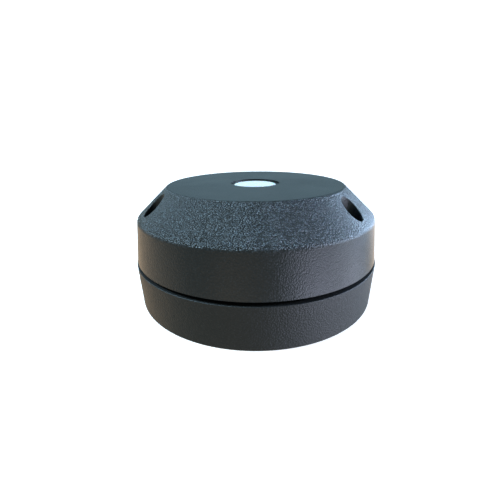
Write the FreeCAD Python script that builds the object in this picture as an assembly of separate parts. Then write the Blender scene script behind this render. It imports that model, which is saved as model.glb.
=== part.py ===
import FreeCAD, Part
import math
import os

from FreeCAD import Vector

os.makedirs("parts", exist_ok=True)

# Round ambient-light sensor puck. Millimetres, +Z up, origin at the centre of the underside.

# Housing heights, from the underside up
base_height = 13.45
gasket_thickness = 1.05
shoulder_height = 27.6
top_height = 36.8
cover_bottom = base_height + gasket_thickness

# Housing radii
base_foot_radius = 39.8
base_rim_radius = 40.3
cover_skirt_radius = 40.0
shoulder_radius = 38.6
top_face_radius = 28.7
base_cavity_radius = 35.5
cover_cavity_radius = 37.2
cavity_shoulder_radius = 36.0
ceiling_radius = 27.4

# Housing walls and edges
floor_thickness = 2.8
ceiling_thickness = 2.6
ceiling_height = top_height - ceiling_thickness
cavity_shoulder_height = 26.1
cavity_fillet = 1.5
lip_outer_radius = 36.6
lip_height = 2.2
gasket_outer_radius = 37.9
shoulder_fillet = 2.0
top_edge_fillet = 1.2
rim_fillet = 0.2
foot_fillet = 0.4
lip_boss_gap = 0.5
gasket_lip_gap = 0.1
gasket_boss_step = 0.2
rib_thickness = 1.4
ceiling_rib_depth = 2.2
ceiling_rib_angles = [30.0, 90.0, 150.0, 210.0, 270.0, 330.0]
floor_rib_top = 6.0

# How far a cutting tool runs past its face, and a rib or boss starts inside its wall
cut_over = 1.0
root_in = 0.5
edge_tolerance = 0.01

# Cover screws: three M3 x 16 socket screws on one pitch circle
screw_pitch_radius = 33.1
screw_angles = {"rear": 90.0, "left": 210.0, "right": 330.0}
well_radius = 3.2
well_floor = 20.0
well_edge_break = 0.25
boss_radius = 4.8
cover_hole_radius = 1.75
seal_thickness = 0.6
seal_outer_radius = 2.85
seal_inner_radius = 1.55
screw_shank_radius = 1.5
screw_head_radius = 2.75
screw_head_height = 3.0
screw_length = 16.0
screw_socket_flats = 2.5
screw_socket_depth = 1.6
screw_head_chamfer = 0.25
screw_tip_chamfer = 0.4
insert_outer_radius = 2.35
insert_bore_radius = 1.55
insert_length = 5.7
insert_groove_width = 1.0
insert_groove_depth = 0.3
screw_tip_hole_radius = 1.85
screw_tip_hole_floor = 3.6

# Tripod insert: 1/4-20 UNC, bored at its tap-drill size
tripod_boss_radius = 8.0
tripod_boss_top = 9.2
tripod_insert_radius = 4.2
tripod_insert_length = 8.0
tripod_bore_radius = 2.55
tripod_flange_radius = 5.4
tripod_flange_thickness = 0.8

# Window stack under the top face
recess_radius = 8.0
recess_depth = 0.5
window_radius = 6.95
window_clearance = 0.1
stack_flange_radius = 9.2
window_seal_thickness = 0.4
diffuser_flange_thickness = 1.0
guide_flange_thickness = 1.0
retainer_thickness = 1.2
collar_inner_radius = 9.5
collar_outer_radius = 11.5
guide_radius = 4.0
guide_bottom = 12.9
guide_clearance = 0.6
retainer_pin_hole_radius = 0.7
retainer_pin_pitch_radius = 7.2
retainer_pin_angles = [0.0, 120.0, 240.0]
window_edge_fillet = 0.2

# Circuit board
board_bottom = 10.0
board_thickness = 1.6
board_top = board_bottom + board_thickness
board_radius = 34.6
board_boss_clearance = 0.8
board_screw_pitch_radius = 29.0
board_screw_angles = [30.0, 150.0, 270.0]
board_post_radius = 3.0
board_screw_radius = 1.05
board_screw_hole_radius = 1.4
board_screw_head_radius = 2.25
board_screw_head_height = 1.5
board_screw_grip = 7.0
board_screw_hole_depth = 8.5
board_screw_head_fillet = 0.6
board_screw_cross_length = 2.4
board_screw_cross_width = 0.5
board_screw_cross_depth = 0.7

# Battery: CR123A size cell lying along X
cell_radius = 8.5
cell_body_length = 33.5
cell_nub_radius = 3.2
cell_nub_length = 1.0
cell_start_x = -16.6
cell_y = -15.5
holder_floor = 1.2
cell_z = board_top + holder_floor + cell_radius
holder_half_length = 21.4
holder_half_width = 9.7
holder_top = 23.2
holder_end_wall = 1.4
contact_thickness = 0.4
contact_width = 9.0
contact_foot = 0.6
contact_top_gap = 0.4
contact_boss_radius = 2.4
spring_wide_radius = 4.2
spring_narrow_radius = 2.2
cell_clearance = 0.2
cell_end_fillet = 0.5
cell_nub_root = 0.2
holder_mouth_lip = 0.4
finger_gap_length = 12.0
finger_gap_floor = 17.0

# Small board parts, placed by the centre of each footprint
sensor_size = 2.8
sensor_height = 0.8
boot_outer_radius = 5.2
boot_inner_radius = 4.4
boot_height = 3.0
module_x = -12.0
module_y = 14.0
module_length = 17.0
module_width = 13.0
module_thickness = 0.8
shield_length = 12.0
shield_width = 11.0
shield_height = 2.0
shield_offset = 1.6
shield_corner = 0.6
antenna_x = -9.0
antenna_y = 25.0
antenna_length = 9.0
antenna_width = 3.0
antenna_height = 1.2
controller_x = 9.5
controller_y = 12.5
controller_size = 7.0
controller_height = 1.0
controller_chamfer = 0.2
capacitor_x = -14.0
capacitor_y = 0.0
capacitor_radius = 3.15
capacitor_height = 7.7
capacitor_foot_size = 6.6
capacitor_foot_height = 1.0
capacitor_rim_fillet = 0.4
header_x = -25.0
header_y = 1.0
header_pitch = 2.54
header_columns = 2
header_rows = 3
header_body_height = 2.5
header_pin_size = 0.64
header_pin_height = 8.5
button_x = 14.0
button_y = 24.0
button_size = 6.0
button_body_height = 3.3
button_cap_radius = 1.65
button_cap_bottom = board_top + 1.8
button_cap_top = board_top + 5.0
button_cap_fillet = 0.3
button_bore_clearance = 0.2
button_bore_floor = 1.2
switch_x = 24.5
switch_y = 1.0
switch_length = 9.0
switch_width = 4.0
switch_height = 3.6
switch_slot_length = 4.6
switch_slot_width = 2.0
switch_slot_depth = 1.4
knob_length = 1.8
knob_width = 1.4
knob_travel = 2.0
knob_clearance = 0.1
knob_top = board_top + 5.6
breather_hole_radius = 1.0
breather_y = -17.5
breather_radius = 3.5
breather_thickness = 0.3



def polar(radius, angle):
    return radius * math.cos(math.radians(angle)), radius * math.sin(math.radians(angle))


def disc(radius, low, high, x=0.0, y=0.0):
    return Part.makeCylinder(radius, high - low, Vector(x, y, low))


def ring(outer, inner, low, high, x=0.0, y=0.0):
    return disc(outer, low, high, x, y).cut(disc(inner, low - cut_over, high + cut_over, x, y))


def block(x, y, length, width, low, high):
    return Part.makeBox(length, width, high - low, Vector(x - length / 2, y - width / 2, low))


# Solid of revolution about Z from (radius, height) corners
def turned(profile):
    points = [Vector(radius, 0, height) for radius, height in profile]
    face = Part.Face(Part.makePolygon(points + [points[0]]))
    return face.revolve(Vector(0, 0, 0), Vector(0, 0, 1), 360)


# Rounds whole circular edges, each given by (radius, height, fillet)
def round_edges(shape, fillets):
    for radius, height, fillet in fillets:
        edges = []
        for edge in shape.Edges:
            curve = edge.Curve
            if not isinstance(curve, Part.Circle):
                continue
            centred = math.hypot(curve.Center.x, curve.Center.y) < edge_tolerance
            same_radius = abs(curve.Radius - radius) < edge_tolerance
            same_height = abs(curve.Center.z - height) < edge_tolerance
            if centred and same_radius and same_height:
                edges.append(edge)
        shape = shape.makeFillet(fillet, edges)
    return shape


# The edges of a shape that lie wholly at a height
def edges_above(shape, height):
    return [edge for edge in shape.Edges if edge.BoundBox.ZMin > height - edge_tolerance]


def screw_places():
    return {side: polar(screw_pitch_radius, angle) for side, angle in screw_angles.items()}


def board_screw_places():
    return [polar(board_screw_pitch_radius, angle) for angle in board_screw_angles]


def hex_prism(flats, low, high, x, y):
    corner = flats / math.sqrt(3.0)
    points = []
    for step in range(6):
        dx, dy = polar(corner, 60.0 * step)
        points.append(Vector(x + dx, y + dy, low))
    face = Part.Face(Part.makePolygon(points + [points[0]]))
    return face.extrude(Vector(0, 0, high - low))


def radial_rib(angle, inner, outer, low, high):
    rib = Part.makeBox(outer - inner, rib_thickness, high - low, Vector(inner, -rib_thickness / 2, low))
    rib.rotate(Vector(0, 0, 0), Vector(0, 0, 1), angle)
    return rib


def make_top_cover():
    outside = turned([
        (0, cover_bottom),
        (cover_skirt_radius, cover_bottom),
        (shoulder_radius, shoulder_height),
        (top_face_radius, top_height),
        (0, top_height),
    ])
    outside = round_edges(outside, [
        (shoulder_radius, shoulder_height, shoulder_fillet),
        (top_face_radius, top_height, top_edge_fillet),
        (cover_skirt_radius, cover_bottom, rim_fillet),
    ])
    hollow = turned([
        (0, cover_bottom - cut_over),
        (cover_cavity_radius, cover_bottom - cut_over),
        (cavity_shoulder_radius, cavity_shoulder_height),
        (ceiling_radius, ceiling_height),
        (0, ceiling_height),
    ])
    hollow = round_edges(hollow, [
        (cavity_shoulder_radius, cavity_shoulder_height, cavity_fillet),
        (ceiling_radius, ceiling_height, cavity_fillet),
    ])
    inside = disc(collar_outer_radius, retainer_bottom(), ceiling_height)
    rib_bottom = ceiling_height - ceiling_rib_depth
    for angle in ceiling_rib_angles:
        rib = radial_rib(angle, collar_outer_radius - root_in, screw_pitch_radius, rib_bottom, ceiling_height)
        inside = inside.fuse(rib)
    for x, y in screw_places().values():
        inside = inside.fuse(disc(boss_radius, cover_bottom, top_height, x, y))
    cover = outside.cut(hollow.cut(inside))
    cover = cover.cut(disc(collar_inner_radius, retainer_bottom() - cut_over, ceiling_height))
    cover = cover.cut(disc(window_radius + window_clearance, ceiling_height - cut_over, top_height + cut_over))
    cover = cover.cut(disc(recess_radius, top_height - recess_depth, top_height + cut_over))
    for x, y in screw_places().values():
        cover = cover.cut(disc(well_radius, well_floor, top_height + cut_over, x, y))
        cover = cover.cut(disc(cover_hole_radius, cover_bottom - cut_over, well_floor + cut_over, x, y))
    cover = cover.removeSplitter()
    return break_well_edges(cover)


# Takes the sharp edge off the mouth of each screw well, where it runs out on the cone
def break_well_edges(cover):
    mouths = []
    for edge in cover.Edges:
        low = edge.BoundBox.ZMin
        high = edge.BoundBox.ZMax
        if high - low > well_radius and low > shoulder_height and high < top_height:
            if edge.BoundBox.XLength > well_radius and not isinstance(edge.Curve, Part.Line):
                mouths.append(edge)
    return cover.makeFillet(well_edge_break, mouths)


def make_base_shell():
    outside = turned([
        (0, 0),
        (base_foot_radius, 0),
        (base_rim_radius, base_height),
        (0, base_height),
    ])
    outside = round_edges(outside, [
        (base_foot_radius, 0, foot_fillet),
        (base_rim_radius, base_height, rim_fillet),
    ])
    base = outside.cut(disc(base_cavity_radius, floor_thickness, base_height + cut_over))
    lip_top = base_height + lip_height
    lip = ring(lip_outer_radius, base_cavity_radius, base_height - cut_over, lip_top)
    for x, y in screw_places().values():
        lip = lip.cut(disc(boss_radius + lip_boss_gap, base_height - 2 * cut_over, lip_top + cut_over, x, y))
    base = base.fuse(lip)
    boss_root = floor_thickness - root_in
    for angle in screw_angles.values():
        inner = tripod_boss_radius - root_in
        rib = radial_rib(angle, inner, screw_pitch_radius, boss_root, floor_rib_top)
        base = base.fuse(rib)
    for x, y in screw_places().values():
        base = base.fuse(disc(boss_radius, boss_root, base_height, x, y).common(outside))
    for x, y in board_screw_places():
        base = base.fuse(disc(board_post_radius, boss_root, board_bottom, x, y))
    base = base.fuse(disc(tripod_boss_radius, boss_root, tripod_boss_top))
    base = base.cut(disc(tripod_insert_radius, -cut_over, tripod_insert_length))
    base = base.cut(disc(tripod_flange_radius, -cut_over, tripod_flange_thickness))
    base = base.cut(disc(breather_hole_radius, -cut_over, floor_thickness + cut_over, 0, breather_y))
    for x, y in screw_places().values():
        base = base.cut(disc(insert_outer_radius, base_height - insert_length, base_height + cut_over, x, y))
        base = base.cut(disc(screw_tip_hole_radius, screw_tip_hole_floor, base_height, x, y))
    for x, y in board_screw_places():
        hole_bottom = board_top - board_screw_hole_depth
        base = base.cut(disc(board_screw_radius, hole_bottom, board_bottom + cut_over, x, y))
    return base.removeSplitter()


def make_main_gasket():
    gasket = ring(gasket_outer_radius, lip_outer_radius + gasket_lip_gap, base_height, cover_bottom)
    for x, y in screw_places().values():
        gasket = gasket.fuse(disc(boss_radius - gasket_boss_step, base_height, cover_bottom, x, y))
    gasket = gasket.common(disc(gasket_outer_radius, base_height, cover_bottom))
    hole_radius = cover_hole_radius + gasket_lip_gap
    for x, y in screw_places().values():
        gasket = gasket.cut(disc(hole_radius, base_height - cut_over, cover_bottom + cut_over, x, y))
    return gasket.removeSplitter()


def make_cover_screw(x, y):
    head_bottom = well_floor + seal_thickness
    head_top = head_bottom + screw_head_height
    head = disc(screw_head_radius, head_bottom, head_top, x, y)
    head = head.makeChamfer(screw_head_chamfer, edges_above(head, head_top))
    tip_height = head_bottom - screw_length
    shank = disc(screw_shank_radius, tip_height, head_bottom, x, y)
    tip = [edge for edge in shank.Edges if edge.BoundBox.ZMax < tip_height + edge_tolerance]
    shank = shank.makeChamfer(screw_tip_chamfer, tip)
    socket = hex_prism(screw_socket_flats, head_top - screw_socket_depth, head_top + cut_over, x, y)
    return head.fuse(shank).cut(socket)


def make_screw_seal(x, y):
    return ring(seal_outer_radius, seal_inner_radius, well_floor, well_floor + seal_thickness, x, y)


def make_base_inserts():
    inserts = []
    for x, y in screw_places().values():
        low = base_height - insert_length
        insert = ring(insert_outer_radius, insert_bore_radius, low, base_height, x, y)
        groove_low = low + (insert_length - insert_groove_width) / 2
        groove_high = groove_low + insert_groove_width
        groove_radius = insert_outer_radius - insert_groove_depth
        groove = ring(insert_outer_radius + cut_over, groove_radius, groove_low, groove_high, x, y)
        inserts.append(insert.cut(groove))
    return Part.makeCompound(inserts)


def make_tripod_insert():
    body = disc(tripod_insert_radius, 0, tripod_insert_length)
    body = body.fuse(disc(tripod_flange_radius, 0, tripod_flange_thickness))
    return body.cut(disc(tripod_bore_radius, -cut_over, tripod_insert_length + cut_over)).removeSplitter()


def seal_bottom():
    return ceiling_height - window_seal_thickness


def diffuser_bottom():
    return seal_bottom() - diffuser_flange_thickness


def guide_flange_bottom():
    return diffuser_bottom() - guide_flange_thickness


def retainer_bottom():
    return guide_flange_bottom() - retainer_thickness


def make_diffuser_seal():
    return ring(stack_flange_radius, window_radius + window_clearance, seal_bottom(), ceiling_height)


def make_light_diffuser():
    flange = disc(stack_flange_radius, diffuser_bottom(), seal_bottom())
    window_top = top_height - recess_depth
    window = disc(window_radius, diffuser_bottom(), window_top)
    window = window.makeFillet(window_edge_fillet, edges_above(window, window_top))
    return flange.fuse(window).removeSplitter()


def make_light_guide():
    flange = disc(stack_flange_radius, guide_flange_bottom(), diffuser_bottom())
    rod = disc(guide_radius, guide_bottom, diffuser_bottom())
    return flange.fuse(rod).removeSplitter()


def make_diffuser_retainer():
    low = retainer_bottom()
    high = guide_flange_bottom()
    retainer = ring(collar_inner_radius, guide_radius + guide_clearance, low, high)
    for angle in retainer_pin_angles:
        x, y = polar(retainer_pin_pitch_radius, angle)
        retainer = retainer.cut(disc(retainer_pin_hole_radius, low - cut_over, high + cut_over, x, y))
    return retainer


def make_main_board():
    board = disc(board_radius, board_bottom, board_top)
    low = board_bottom - cut_over
    high = board_top + cut_over
    for x, y in screw_places().values():
        board = board.cut(disc(boss_radius + board_boss_clearance, low, high, x, y))
    for x, y in board_screw_places():
        board = board.cut(disc(board_screw_hole_radius, low, high, x, y))
    return board


def make_board_screws():
    screws = []
    for x, y in board_screw_places():
        head_top = board_top + board_screw_head_height
        head = disc(board_screw_head_radius, board_top, head_top, x, y)
        head = head.makeFillet(board_screw_head_fillet, edges_above(head, head_top))
        shank = disc(board_screw_radius, board_top - board_screw_grip, board_top, x, y)
        low = head_top - board_screw_cross_depth
        high = head_top + cut_over
        cross = block(x, y, board_screw_cross_length, board_screw_cross_width, low, high)
        cross = cross.fuse(block(x, y, board_screw_cross_width, board_screw_cross_length, low, high))
        screws.append(head.fuse(shank).cut(cross))
    return Part.makeCompound(screws)


def make_light_sensor():
    return block(0, 0, sensor_size, sensor_size, board_top, board_top + sensor_height)


def make_guide_boot():
    return ring(boot_outer_radius, boot_inner_radius, board_top, board_top + boot_height)


def make_radio_module():
    top = board_top + module_thickness
    return block(module_x, module_y, module_length, module_width, board_top, top)


def make_radio_shield():
    low = board_top + module_thickness
    can = block(module_x + shield_offset, module_y, shield_length, shield_width, low, low + shield_height)
    upright = [edge for edge in can.Edges if edge.BoundBox.ZLength > shield_height - edge_tolerance]
    return can.makeFillet(shield_corner, upright)


def make_chip_antenna():
    return block(antenna_x, antenna_y, antenna_length, antenna_width, board_top, board_top + antenna_height)


def make_controller_chip():
    top = board_top + controller_height
    chip = block(controller_x, controller_y, controller_size, controller_size, board_top, top)
    return chip.makeChamfer(controller_chamfer, edges_above(chip, top))


def make_reservoir_capacitor():
    foot_top = board_top + capacitor_foot_height
    foot = block(capacitor_x, capacitor_y, capacitor_foot_size, capacitor_foot_size, board_top, foot_top)
    can_top = board_top + capacitor_height
    can = disc(capacitor_radius, foot_top, can_top, capacitor_x, capacitor_y)
    return foot.fuse(can.makeFillet(capacitor_rim_fillet, edges_above(can, can_top)))


def make_program_header():
    length = header_columns * header_pitch
    width = header_rows * header_pitch
    header = block(header_x, header_y, length, width, board_top, board_top + header_body_height)
    pin_top = board_top + header_pin_height
    for column in range(header_columns):
        for row in range(header_rows):
            x = header_x + (column + 0.5) * header_pitch - length / 2
            y = header_y + (row + 0.5) * header_pitch - width / 2
            pin = block(x, y, header_pin_size, header_pin_size, board_top + header_body_height / 2, pin_top)
            header = header.fuse(pin)
    return header


def make_reset_button_body():
    top = board_top + button_body_height
    body = block(button_x, button_y, button_size, button_size, board_top, top)
    bore_radius = button_cap_radius + button_bore_clearance
    return body.cut(disc(bore_radius, board_top + button_bore_floor, top + cut_over, button_x, button_y))


def make_reset_button_cap():
    cap = disc(button_cap_radius, button_cap_bottom, button_cap_top, button_x, button_y)
    return cap.makeFillet(button_cap_fillet, edges_above(cap, button_cap_top))


def make_power_switch_body():
    top = board_top + switch_height
    body = block(switch_x, switch_y, switch_width, switch_length, board_top, top)
    low = top - switch_slot_depth
    slot = block(switch_x, switch_y, switch_slot_width, switch_slot_length, low, top + cut_over)
    return body.cut(slot)


def make_power_switch_knob():
    low = board_top + switch_height - switch_slot_depth + knob_clearance
    y = switch_y - knob_travel / 2
    return block(switch_x, y, knob_width, knob_length, low, knob_top)


def cell_cylinder(radius, start_x, length):
    return Part.makeCylinder(radius, length, Vector(start_x, cell_y, cell_z), Vector(1, 0, 0))


def make_battery_cell():
    body = cell_cylinder(cell_radius, cell_start_x, cell_body_length)
    ends = [edge for edge in body.Edges if edge.BoundBox.XLength < edge_tolerance]
    body = body.makeFillet(cell_end_fillet, ends)
    nub_start = cell_start_x + cell_body_length - cell_nub_root
    return body.fuse(cell_cylinder(cell_nub_radius, nub_start, cell_nub_length + cell_nub_root))


def make_battery_holder():
    holder = block(0, cell_y, 2 * holder_half_length, 2 * holder_half_width, board_top, holder_top)
    inner_half = holder_half_length - holder_end_wall
    trough = cell_cylinder(cell_radius + cell_clearance, -inner_half, 2 * inner_half)
    holder = holder.cut(trough)
    cut_top = holder_top + cut_over
    mouth_width = 2 * (cell_radius - holder_mouth_lip)
    holder = holder.cut(block(0, cell_y, 2 * inner_half, mouth_width, cell_z, cut_top))
    gap_width = 2 * (holder_half_width + cut_over)
    holder = holder.cut(block(0, cell_y, finger_gap_length, gap_width, finger_gap_floor, cut_top))
    for x in (-inner_half + contact_thickness / 2, inner_half - contact_thickness / 2):
        slot = block(x, cell_y, contact_thickness, contact_width, board_top + contact_foot, holder_top)
        holder = holder.cut(slot)
    return holder


def contact_plate(x):
    low = board_top + contact_foot
    return block(x, cell_y, contact_thickness, contact_width, low, holder_top - contact_top_gap)


def make_battery_contact_positive():
    x = holder_half_length - holder_end_wall - contact_thickness / 2
    plate = contact_plate(x)
    nub_end = cell_start_x + cell_body_length + cell_nub_length
    reach = x - contact_thickness / 2 - nub_end
    boss = cell_cylinder(contact_boss_radius, nub_end, reach + contact_thickness / 2)
    return plate.fuse(boss)


def make_battery_contact_negative():
    x = -holder_half_length + holder_end_wall + contact_thickness / 2
    plate = contact_plate(x)
    reach = cell_start_x - x
    start = Vector(x, cell_y, cell_z)
    spring = Part.makeCone(spring_wide_radius, spring_narrow_radius, reach, start, Vector(1, 0, 0))
    return plate.fuse(spring)


def make_breather_membrane():
    return disc(breather_radius, floor_thickness, floor_thickness + breather_thickness, 0, breather_y)


def save(name, shape):
    shape.exportStep("parts/" + name + ".step")


save("top_cover", make_top_cover())
save("base_shell", make_base_shell())
save("main_gasket", make_main_gasket())
for side, place in screw_places().items():
    save("cover_screw_" + side, make_cover_screw(place[0], place[1]))
    save("screw_seal_" + side, make_screw_seal(place[0], place[1]))
save("base_inserts", make_base_inserts())
save("tripod_insert", make_tripod_insert())
save("diffuser_seal", make_diffuser_seal())
save("light_diffuser", make_light_diffuser())
save("light_guide", make_light_guide())
save("diffuser_retainer", make_diffuser_retainer())
save("main_board", make_main_board())
save("board_screws", make_board_screws())
save("light_sensor", make_light_sensor())
save("guide_boot", make_guide_boot())
save("radio_module", make_radio_module())
save("radio_shield", make_radio_shield())
save("chip_antenna", make_chip_antenna())
save("controller_chip", make_controller_chip())
save("reservoir_capacitor", make_reservoir_capacitor())
save("program_header", make_program_header())
save("reset_button_body", make_reset_button_body())
save("reset_button_cap", make_reset_button_cap())
save("power_switch_body", make_power_switch_body())
save("power_switch_knob", make_power_switch_knob())
save("battery_holder", make_battery_holder())
save("battery_cell", make_battery_cell())
save("battery_contact_positive", make_battery_contact_positive())
save("battery_contact_negative", make_battery_contact_negative())
save("breather_membrane", make_breather_membrane())
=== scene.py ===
import bmesh
import bpy
import math
import random
from mathutils import Matrix, Vector


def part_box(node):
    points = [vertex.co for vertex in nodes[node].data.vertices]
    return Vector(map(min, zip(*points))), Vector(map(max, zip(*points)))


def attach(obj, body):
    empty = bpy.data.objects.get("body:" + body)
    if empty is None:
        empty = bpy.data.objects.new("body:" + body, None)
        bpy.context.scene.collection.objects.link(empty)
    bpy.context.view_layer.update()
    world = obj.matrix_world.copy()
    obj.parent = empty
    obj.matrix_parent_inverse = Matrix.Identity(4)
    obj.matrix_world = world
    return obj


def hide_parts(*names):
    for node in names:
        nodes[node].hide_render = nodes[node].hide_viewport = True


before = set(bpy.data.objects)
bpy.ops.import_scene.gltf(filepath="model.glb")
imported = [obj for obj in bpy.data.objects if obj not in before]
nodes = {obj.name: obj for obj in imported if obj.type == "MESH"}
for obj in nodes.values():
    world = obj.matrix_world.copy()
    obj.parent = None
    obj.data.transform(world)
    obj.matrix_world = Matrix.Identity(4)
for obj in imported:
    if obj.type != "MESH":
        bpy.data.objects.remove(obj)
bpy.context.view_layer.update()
mm = 0.001
upAxis = Vector((0, 0, 1))
print("frame loaded:", len(nodes), "nodes")


# Colour and node helpers

def hexColour(text):
    parts = [int(text[i:i + 2], 16) / 255 for i in (1, 3, 5)]
    linear = [c / 12.92 if c <= 0.04045 else ((c + 0.055) / 1.055) ** 2.4 for c in parts]
    return (*linear, 1.0)


def addNode(tree, kind, settings, links):
    # settings are node attributes or input values, links are input: the socket that feeds it
    node = tree.nodes.new("ShaderNode" + kind)
    for key, value in settings.items():
        if isinstance(key, str) and hasattr(node, key):
            setattr(node, key, value)
        else:
            node.inputs[key].default_value = value
    for key, socket in links.items():
        tree.links.new(socket, node.inputs[key])
    return node


def newMaterial(name, shader):
    mat = bpy.data.materials.new(name)
    mat.use_nodes = True
    tree = mat.node_tree
    tree.nodes.clear()
    bsdf = addNode(tree, "BsdfPrincipled", shader, {})
    addNode(tree, "OutputMaterial", {}, {"Surface": bsdf.outputs[0]})
    point = addNode(tree, "TexCoord", {}, {}).outputs["Object"]
    return mat, tree, bsdf, point


def feedShader(tree, bsdf, sources):
    for key, node in sources.items():
        tree.links.new(node.outputs[0], bsdf.inputs[key])


# Finishes

coverAbs = {
    "colour": "#111518",
    # lighter colour painted at the dome centres as highlight
    "tips": "#66727b",
    "roughness": (0.30, 0.37),
    # spacing of the eroded domes, and of the broken skin on them: as coarse as they need to be
    # to show, and the real ones may be finer
    "dome": 0.44 * mm,
    "fine": 0.23 * mm,
    "depth": 0.15 * mm,
    # depth left on a wall, on the cone and on the flat top: walls need draft, and the top was polished more
    "depthOn": (0.30, 1.0, 0.20),
}
baseAbs = {
    "colour": "#151616",
    # lighter colour painted at the dome centres as highlight
    "tips": "#232424",
    "roughness": (0.48, 0.56),
    "dome": 0.50 * mm,
    "fine": 0.28 * mm,
    "depth": 0.06 * mm,
    "depthOn": (1.0, 1.0, 0.6),
}
erosionLook = {
    "domeWeight": -1.6,         # height at a dome's edge against the fine skin's
    "tip": (0.26, 0.52),        # a painted highlight fades out between these distances from a dome's centre, in domes
    "wallToCone": (0.1, 0.65),  # upward part of the normal where a wall becomes the cone
    "coneToTop": (0.90, 0.99),
    "wear": 14 * mm,            # size of the patches that handling leaves
}


def sparkErodedAbs(name, look, erosion):
    # moulded black ABS: the eroded tool leaves dull domes, and a lighter base colour at each dome's centre is
    # a painted highlight standing in for the lamps' glints on the grain
    mat, tree, bsdf, point = newMaterial(name, {"IOR": 1.54})
    domes = addNode(tree, "TexVoronoi", {"Scale": 1 / look["dome"]}, {"Vector": point})
    away = domes.outputs["Distance"]
    fine = addNode(tree, "TexNoise", {"Scale": 1 / look["fine"], "Detail": 1.0}, {"Vector": point}).outputs[0]
    grain = addNode(tree, "Math", {"operation": "MULTIPLY_ADD", 1: erosion["domeWeight"]}, {0: away, 2: fine})

    # how deep the grain is, by which way the surface faces
    facing = addNode(tree, "TexCoord", {}, {}).outputs["Normal"]
    upward = addNode(tree, "SeparateXYZ", {}, {0: facing}).outputs[2]
    onWall, onCone, onTop = look["depthOn"]
    start, end = erosion["wallToCone"]
    cone = addNode(tree, "MapRange", {"From Min": start, "From Max": end, "To Min": onWall, "To Max": onCone},
                   {"Value": upward}).outputs[0]
    start, end = erosion["coneToTop"]
    flat = addNode(tree, "MapRange", {"From Min": start, "From Max": end, "To Min": 1.0,
                                      "To Max": onTop / onCone},
                   {"Value": upward}).outputs[0]
    depth = addNode(tree, "Math", {"operation": "MULTIPLY"}, {0: cone, 1: flat}).outputs[0]
    bump = addNode(tree, "Bump", {"Distance": look["depth"]}, {"Height": grain.outputs[0], "Strength": depth})

    # painted highlight at the dome centres, uneven from dome to dome and weaker where the grain is shallow
    start, end = erosion["tip"]
    tip = addNode(tree, "MapRange", {"From Min": start, "From Max": end, "To Min": 1.0, "To Max": 0.0},
                  {"Value": away}).outputs[0]
    chance = addNode(tree, "SeparateColor", {}, {0: domes.outputs["Color"]}).outputs[0]
    uneven = addNode(tree, "Math", {"operation": "MULTIPLY"}, {0: tip, 1: chance}).outputs[0]
    deep = addNode(tree, "Math", {"operation": "POWER", 1: 2.0}, {0: depth}).outputs[0]
    tips = addNode(tree, "Math", {"operation": "MULTIPLY"}, {0: uneven, 1: deep}).outputs[0]
    colour = addNode(tree, "MixRGB", {"Color1": hexColour(look["colour"]), "Color2": hexColour(look["tips"])},
                     {"Fac": tips})

    # handling leaves slow changes in gloss
    wear = addNode(tree, "TexNoise", {"Scale": 1 / erosion["wear"], "Detail": 4.0},
                   {"Vector": point}).outputs[0]
    low, high = look["roughness"]
    gloss = addNode(tree, "MapRange", {"From Min": 0.3, "From Max": 0.7, "To Min": low, "To Max": high},
                    {"Value": wear})
    feedShader(tree, bsdf, {"Base Color": colour, "Roughness": gloss, "Normal": bump})
    return mat


def moulded(name, shader, look):
    # moulded or cast plastic and rubber: slight clouding in colour and gloss, and a fine skin
    mat, tree, bsdf, point = newMaterial(name, shader)
    cloud = addNode(tree, "TexNoise", {"Scale": 1 / look["cloud"], "Detail": 4.0},
                    {"Vector": point}).outputs[0]
    skin = addNode(tree, "TexNoise", {"Scale": 1 / look["skin"], "Detail": 2.0}, {"Vector": point}).outputs[0]
    dark, light = look["colours"]
    low, high = look["roughness"]
    colour = addNode(tree, "MixRGB", {"Color1": hexColour(dark), "Color2": hexColour(light)}, {"Fac": cloud})
    gloss = addNode(tree, "MapRange", {"To Min": low, "To Max": high}, {"Value": cloud})
    bump = addNode(tree, "Bump", {"Distance": look["depth"]}, {"Height": skin})
    feedShader(tree, bsdf, {"Base Color": colour, "Roughness": gloss, "Normal": bump})
    return mat


metalLook = {
    "waveStep": 0.314,  # spacing of a wave node's bands at scale 1
    "waver": 1.5, "stain": 1.2 * mm, "depth": 0.004 * mm,
}


def turnedMetal(name, colours, roughness, ring):
    # turned, drawn or plated metal: tool rings break up the highlight, and stains change its gloss
    mat, tree, bsdf, point = newMaterial(name, {"Metallic": 1.0})
    rings = addNode(tree, "TexWave", {"wave_type": "BANDS", "bands_direction": "Z", "Detail": 2.0,
                                      "Scale": metalLook["waveStep"] / ring,
                                      "Distortion": metalLook["waver"]},
                    {"Vector": point}).outputs[1]
    stain = addNode(tree, "TexNoise", {"Scale": 1 / metalLook["stain"], "Detail": 4.0},
                    {"Vector": point}).outputs[0]
    dark, light = colours
    low, high = roughness
    colour = addNode(tree, "MixRGB", {"Color1": hexColour(dark), "Color2": hexColour(light)}, {"Fac": stain})
    gloss = addNode(tree, "MapRange", {"To Min": low, "To Max": high}, {"Value": stain})
    bump = addNode(tree, "Bump", {"Distance": metalLook["depth"]}, {"Height": rings})
    feedShader(tree, bsdf, {"Base Color": colour, "Roughness": gloss, "Normal": bump})
    return mat


maskLook = {"weave": 0.45 * mm, "weaveDepth": 0.004 * mm, "pour": 9 * mm, "pourEdge": (0.50, 0.515)}


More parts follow.
